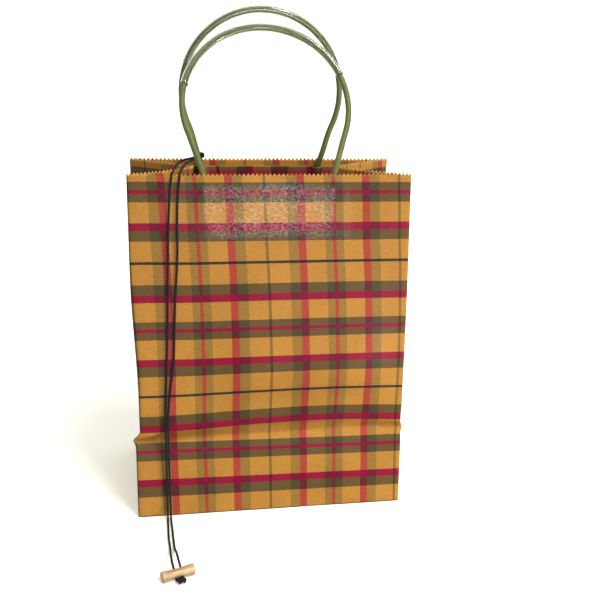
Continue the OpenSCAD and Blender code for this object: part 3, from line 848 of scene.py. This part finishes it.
sack = make_object("plaid_sack_sheet", points, faces, uvs, "Cloth", [plaid_out, plaid_in_painted_light, cut_edge])
zone = sack.data.attributes.new("patch_zone", "FLOAT", "POINT")
all_points = np.array(points)
on_front = all_points[:, 1] < -0.040
zone_x = smoothstep(all_points[:, 0], -0.100, -0.094) * (1 - smoothstep(all_points[:, 0], 0.072, 0.078))
zone_z = smoothstep(all_points[:, 2], 0.267, 0.271) * (1 - smoothstep(all_points[:, 2], 0.318, 0.322))
zone.data.foreach_set("value", (on_front * zone_x * zone_z).astype(np.float32))
solid = sack.modifiers.new("cloth thickness", "SOLIDIFY")
solid.thickness = CLOTH_T
solid.offset = -1
solid.material_offset = 1
solid.material_offset_rim = 2
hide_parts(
    "front_panel", "back_panel", "side_seam_flap",
    "left_gusset_front", "left_gusset_back", "left_gusset_base",
    "right_gusset_front", "right_gusset_back", "right_gusset_base",
    "base_front_flap", "base_back_flap", "base_left_tab", "base_right_tab",
)
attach(sack, "sack")

# --- handle patches ---

PATCH_W = 0.180
PATCH_H = 0.054
PATCH_DROP = 0.006
PATCH_T = 0.0006


# A handle's foot spreads out by this share of its height over the wall's edge, and its tail
# runs in by no more than TAIL_RUN_IN
FOOT_SPREAD = 0.31
TAIL_RUN_IN = 0.0034


def foot_lean(up):
    """How far a handle's foot has moved in towards the middle, down along the wall."""
    if up > 0:
        return -FOOT_SPREAD * up
    return TAIL_RUN_IN * (1 - math.exp(FOOT_SPREAD * up / TAIL_RUN_IN))


def make_patch(name, node, shift, handle_shift, front):
    """Cloth glued over two handle tails: flat on the wall, raised round each tail."""
    columns = 121
    levels = 31
    feet = [handle_shift - FOOT_X, handle_shift + FOOT_X]
    points = []
    uvs = []
    for i in range(levels):
        for k in range(columns):
            across = k / (columns - 1)
            x = shift - PATCH_W / 2 + PATCH_W * across
            up = -PATCH_DROP - PATCH_H * (1 - i / (levels - 1))
            near = min(abs(x - foot - math.copysign(foot_lean(up), -foot)) for foot in feet)
            hill = 2 * ROD_R * float(1 - smoothstep(near, 0.0018, 0.0056))
            end = float(smoothstep(up, -TAIL_LEN - 0.006, -TAIL_LEN))
            lift = PATCH_T + hill * end
            lift += 0.0002 * noise.noise(Vector((x * 60, up * 60, 4.0 if front else 9.0)))
            points.append(wall_point(x, lift, up, front))
            uvs.append((x - 0.0186, -0.0385 - up - PATCH_DROP))
    faces = []
    for i in range(levels - 1):
        for k in range(columns - 1):
            a = i * columns + k
            quad = (a, a + columns, a + columns + 1, a + 1)
            faces.append(quad if front else quad[::-1])
    patch = make_object(name, points, faces, uvs, "Cloth", [plaid_patch, plaid_patch, cut_edge])
    solid = patch.modifiers.new("cloth thickness", "SOLIDIFY")
    solid.thickness = PATCH_T - 0.0001
    solid.offset = -1
    solid.material_offset_rim = 2
    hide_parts(node)
    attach(patch, "sack")


make_patch("front_patch_cloth", "front_handle_patch", -0.011, FRONT_SHIFT, True)
make_patch("rear_patch_cloth", "rear_handle_patch", -0.003, REAR_SHIFT, False)

# --- handles ---


def hoop_frame(front):
    """Bend line, lean and bend height of a handle."""
    bend_h = 0.006 if front else 0.012
    shift = FRONT_SHIFT if front else REAR_SHIFT
    lean = math.radians(28.3 if front else -3.6)
    return shift, bend_h, lean, wall_point(shift, ROD_R, bend_h, front)


def on_hoop(x, up, front):
    """Place on a handle's free part, from its bend line, in the plane of its hoop."""
    shift, bend_h, lean, bend = hoop_frame(front)
    return bend + np.array([x, up * math.sin(lean), up * math.cos(lean)])


def arc_drop(bend_h):
    """How far below level, as an angle, a hoop's arc runs on before its straight legs."""
    rise = HOOP_H - bend_h
    return math.atan2(rise, FOOT_X) - math.acos(HOOP_R / math.hypot(FOOT_X, rise))


def make_handle(name, nodes, front):
    shift, bend_h, lean, bend = hoop_frame(front)
    rise = HOOP_H - bend_h
    drop = arc_drop(bend_h)
    left = []
    for up in list(np.arange(-TAIL_LEN, bend_h - 0.0045, 0.004)) + [bend_h - 0.003]:
        left.append(wall_point(shift - FOOT_X + foot_lean(up), ROD_R, up, front))
    leg = math.sqrt(FOOT_X**2 + rise**2 - HOOP_R**2)
    for step in (0.004, 0.014, 0.024, leg):
        out = FOOT_SPREAD * bend_h * (1 - step / leg) ** 1.3
        left.append(on_hoop(-FOOT_X - out - step * math.sin(drop), step * math.cos(drop), front))
    arc = []
    for a in np.linspace(math.pi + drop, -drop, 61)[1:-1]:
        arc.append(on_hoop(HOOP_R * math.cos(a), rise + HOOP_R * math.sin(a), front))
    right = [np.array([2 * shift - p[0], p[1], p[2]]) for p in reversed(left)]
    route, run = smooth_route(left + arc + right, 0.0016)
    handle = tube(name, route, run, ROD_R, olive_cord, sides=28)
    up = np.array([0, math.sin(lean), math.cos(lean)])
    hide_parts(*nodes)
    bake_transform(handle)


make_handle(
    "front_handle_whole_cord",
    ["front_handle", "front_handle_left_end", "front_handle_right_end"],
    True,
)
make_handle(
    "rear_handle_whole_cord",
    ["rear_handle", "rear_handle_left_end", "rear_handle_right_end"],
    False,
)

SLEEVE_R = 0.00365
SLEEVE_BORE = ROD_R + 0.00015


def make_sleeve(name, node, body, middle, front):
    """Clear tube over the top of a hoop, its cut ends a little flared and burred."""
    shift, bend_h, lean, bend = hoop_frame(front)
    rise = HOOP_H - bend_h
    half = math.radians(71)
    middle = math.radians(middle)
    count = 150
    sides = 28
    rings = []
    runs = []
    for inner in (False, True):
        order = np.linspace(middle + half, middle - half, count)
        if inner:
            order = order[::-1]
        for a in order:
            from_end = (half - abs(a - middle)) * HOOP_R
            lip = 0.00028 * math.exp(-((from_end / 0.0009) ** 2))
            radius = SLEEVE_BORE if inner else SLEEVE_R + lip
            centre = on_hoop(HOOP_R * math.cos(a), rise + HOOP_R * math.sin(a), front)
            outward = on_hoop(math.cos(a), math.sin(a), front) - on_hoop(0, 0, front)
            onward = on_hoop(-math.sin(a), math.cos(a), front) - on_hoop(0, 0, front)
            square = np.cross(outward, onward)
            turn = np.linspace(0, 2 * math.pi, sides, endpoint=False)
            wobble = 1 + 0.006 * np.sin(2 * turn + 9 * a) + 0.004 * math.sin(23 * a)
            reach = np.full(sides, radius) if inner else radius * wobble
            ring = np.cos(turn)[:, None] * outward + np.sin(turn)[:, None] * square
            rings.append(centre + reach[:, None] * ring)
            runs.append([(t * SLEEVE_R, a * HOOP_R) for t in turn])
    faces = []
    total = len(rings)
    for i in range(total):
        j = (i + 1) % total
        for k in range(sides):
            n = (k + 1) % sides
            faces.append((i * sides + k, i * sides + n, j * sides + n, j * sides + k))
    sleeve = make_object(name, np.concatenate(rings), faces, np.concatenate(runs), "Run", [clear_plastic])
    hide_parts(node)
    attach(sleeve, body)


make_sleeve("front_sleeve_tube", "front_grip_sleeve", "front_grip", 94.5, True)
make_sleeve("rear_sleeve_tube", "rear_grip_sleeve", "rear_grip", 88, False)

# --- hitch, toggle and knot ---


def make_hitch():
    """Lark's head of the doubled cord round the rear handle's left stub."""
    stub_x = REAR_SHIFT - FOOT_X
    reach = ROD_R + CORD_R

    def round_stub(angle, up, extra=0.0):
        a = math.radians(angle)
        base = wall_point(stub_x, ROD_R + (reach + extra) * math.sin(a), up, False)
        return base + np.array([(reach + extra) * math.cos(a), 0, 0])

    route = [left_path[0], round_stub(125, 0.0066, 0.0006)]
    route += [round_stub(a, 0.0067) for a in range(90, -230, -30)]
    route += [round_stub(-250, 0.0066, 0.0012), round_stub(-262, 0.0056, 0.0019)]
    route += [round_stub(-250, 0.0046, 0.0012)]
    route += [round_stub(a, 0.0044) for a in range(-230, 90, 30)]
    route += [round_stub(125, 0.0045, 0.0006), right_path[0]]
    return black_piece("cord_hitch_turns", route, 0.0005, CORD_R * 0.97, 0.2)[0]


hitch = make_hitch()
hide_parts("cord_hitch")
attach(hitch, "sack")


def make_knot():
    """Stopper knot of both strands: a pulled-up trefoil with two short cut ends."""
    long_half = 0.0034
    wide_half = 0.0018
    tall_half = 0.0014
    loop = []
    for t in np.linspace(0, 2 * math.pi, 40, endpoint=False):
        a = (math.sin(t) + 2 * math.sin(2 * t)) / 3
        b = (math.cos(t) - 2 * math.cos(2 * t)) / 3
        c = -math.sin(3 * t)
        spot = knot_pos + long_half * a * along + wide_half * b * ahead
        loop.append(spot + np.array([0, 0, tall_half * c]))
    loop.append(loop[0])
    knot = black_piece("cord_knot_loops", loop, 0.0004, 0.0013)[0]
    ends = []
    for side in (-1, 1):
        start = knot_pos + 0.0010 * side * along
        route = [start, start + 0.0016 * ahead + 0.0008 * side * along - np.array([0, 0, 0.0006])]
        route.append(start + 0.0031 * ahead + 0.0013 * side * along - np.array([0, 0, 0.0014]))
        ends.append(black_piece("cord_knot_end", route, 0.0004, CORD_R, 0.15)[0])
    for end in ends:
        end.parent = knot
    return knot


knot = make_knot()
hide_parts("cord_knot")
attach(knot, "sack")

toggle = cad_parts["toggle"]
toggle.data.materials.clear()
toggle.data.materials.append(wood_material(TOGGLE_TURN))

for strand, path, node, length, pieces in (
    (left_strand, left_path, "toggle_cord_left", left_length, [hitch, knot, toggle]),
    (right_strand, right_path, "toggle_cord_right", right_length, [hitch, knot, toggle]),
):
    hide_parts(node)
    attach(strand, "sack")
    tuple(path[0])
    [tuple(p) for p in path]
    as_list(pieces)

# --- base board ---


def make_board():
    """Grey cardboard, its edges crushed round and its face not quite flat."""
    low, high = [np.array(c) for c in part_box("base_board")]
    mesh = bmesh.new()
    bmesh.ops.create_grid(mesh, x_segments=26, y_segments=15, size=0.5)
    size = high - low
    for vertex in mesh.verts:
        x, y = vertex.co.x, vertex.co.y
        swell = 0.0002 * noise.noise(Vector((x * 4, y * 4, 1.0)))
        vertex.co = ((x + 0.5) * size[0] + low[0], (y + 0.5) * size[1] + low[1], high[2] + swell - 0.0002)
    data = bpy.data.meshes.new("base_board_card")
    mesh.to_mesh(data)
    mesh.free()
    data.materials.append(cardboard)
    board = bpy.data.objects.new("base_board_card", data)
    bpy.context.collection.objects.link(board)
    solid = board.modifiers.new("thickness", "SOLIDIFY")
    solid.thickness = size[2] - 0.0003
    solid.offset = -1
    bevel = board.modifiers.new("worn edges", "BEVEL")
    bevel.width = 0.0004
    bevel.segments = 2
    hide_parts("base_board")
    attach(board, "sack")


make_board()

# --- floor and light ---


def make_backdrop():
    """Wide sheet of pale paper that the bag stands on, with a weak warm glow."""
    points = []
    for y in (-30.0, -3.0, 3.0, 40.0):
        points.append((-30.0, y, -0.0003))
        points.append((30.0, y, -0.0003))
    faces = [(2 * i, 2 * i + 1, 2 * i + 3, 2 * i + 2) for i in range(3)]
    s = Shader("pale_paper")
    tone = s.noise(s.mapping(s.place(), scale=(3, 3, 3)), 1.0, 2.0)
    colour = s.ramp(tone, [(0.3, (0.93, 0.93, 0.88)), (0.7, (0.95, 0.95, 0.90))])
    paper = s.finish(
        Base_Color=colour,
        Roughness=0.9,
        Emission_Color=(1, 1, 0.72, 1),
        Emission_Strength=0.22,
    )
    return make_object("pale_floor", points, faces, [(p[0], p[1]) for p in points], "Floor", [paper])


floor = make_backdrop()
# it sends no light back up, as the photo's dark lower folds show
floor.visible_diffuse = False


def area_light(name, place, target, size, watts, colour=(1, 1, 1)):
    data = bpy.data.lights.new(name, "AREA")
    data.shape = "RECTANGLE"
    data.size = size[0]
    data.size_y = size[1]
    data.energy = watts
    data.color = colour
    light = bpy.data.objects.new(name, data)
    bpy.context.collection.objects.link(light)
    light.location = place
    aim = Vector(target) - Vector(place)
    light.rotation_euler = aim.to_track_quat("-Z", "Y").to_euler()
    return light


def wide_light(name, towards, watts, softness):
    """Even light over the whole floor, as from a large softbox far away."""
    data = bpy.data.lights.new(name, "SUN")
    data.energy = watts
    data.angle = math.radians(softness)
    light = bpy.data.objects.new(name, data)
    bpy.context.collection.objects.link(light)
    light.rotation_euler = Vector(towards).to_track_quat("-Z", "Y").to_euler()
    return light


wide_light("key_light", (-0.45, 0.55, -1.0), 2.35, 20)
area_light("front_softbox", (0.29, -2.2, 0.36), (0, 0, 0.29), (0.35, 0.34), 8.2)
area_light("low_side", (0.75, -0.75, 0.16), (0.02, 0, 0.06), (0.3, 0.2), 4.8)


def make_world():
    """Soft light from all round, brightest from overhead and from the white wall behind."""
    world = bpy.data.worlds.new("studio")
    world.use_nodes = True
    tree = world.node_tree
    background = tree.nodes["Background"]
    coordinate = tree.nodes.new("ShaderNodeTexCoord")
    split = tree.nodes.new("ShaderNodeSeparateXYZ")
    tree.links.new(coordinate.outputs["Generated"], split.inputs[0])
    behind = tree.nodes.new("ShaderNodeMapRange")
    behind.interpolation_type = "SMOOTHSTEP"
    behind.inputs[1].default_value = 0.15
    behind.inputs[2].default_value = 0.75
    behind.inputs[3].default_value = 0.16
    behind.inputs[4].default_value = 1.1
    tree.links.new(split.outputs[1], behind.inputs[0])
    height = tree.nodes.new("ShaderNodeMapRange")
    height.inputs[1].default_value = -1
    tree.links.new(split.outputs[2], height.inputs[0])
    shades = tree.nodes.new("ShaderNodeValToRGB")
    ramp = shades.color_ramp
    tones = [(0, 0.42), (0.46, 0.36), (0.52, 0.16), (0.70, 0.16), (0.92, 1.0)]
    while len(ramp.elements) < len(tones):
        ramp.elements.new(0.5)
    for element, (place, tone) in zip(ramp.elements, tones):
        element.position = place
        element.color = (tone, tone, tone, 1)
    tree.links.new(height.outputs[0], shades.inputs[0])
    brighter = tree.nodes.new("ShaderNodeMath")
    brighter.operation = "MAXIMUM"
    tree.links.new(behind.outputs[0], brighter.inputs[0])
    tree.links.new(shades.outputs[0], brighter.inputs[1])
    tree.links.new(brighter.outputs[0], background.inputs[1])
    background.inputs[0].default_value = (1, 1, 1, 1)
    # the background itself is a pale wall on every side
    seen = tree.nodes.new("ShaderNodeLightPath")
    wall = tree.nodes.new("ShaderNodeBackground")
    wall.inputs[0].default_value = (1, 1, 1, 1)
    wall.inputs[1].default_value = 1.1
    either = tree.nodes.new("ShaderNodeMixShader")
    tree.links.new(seen.outputs["Is Camera Ray"], either.inputs[0])
    tree.links.new(background.outputs[0], either.inputs[1])
    tree.links.new(wall.outputs[0], either.inputs[2])
    tree.links.new(either.outputs[0], tree.nodes["World Output"].inputs[0])
    bpy.context.scene.world = world


make_world()
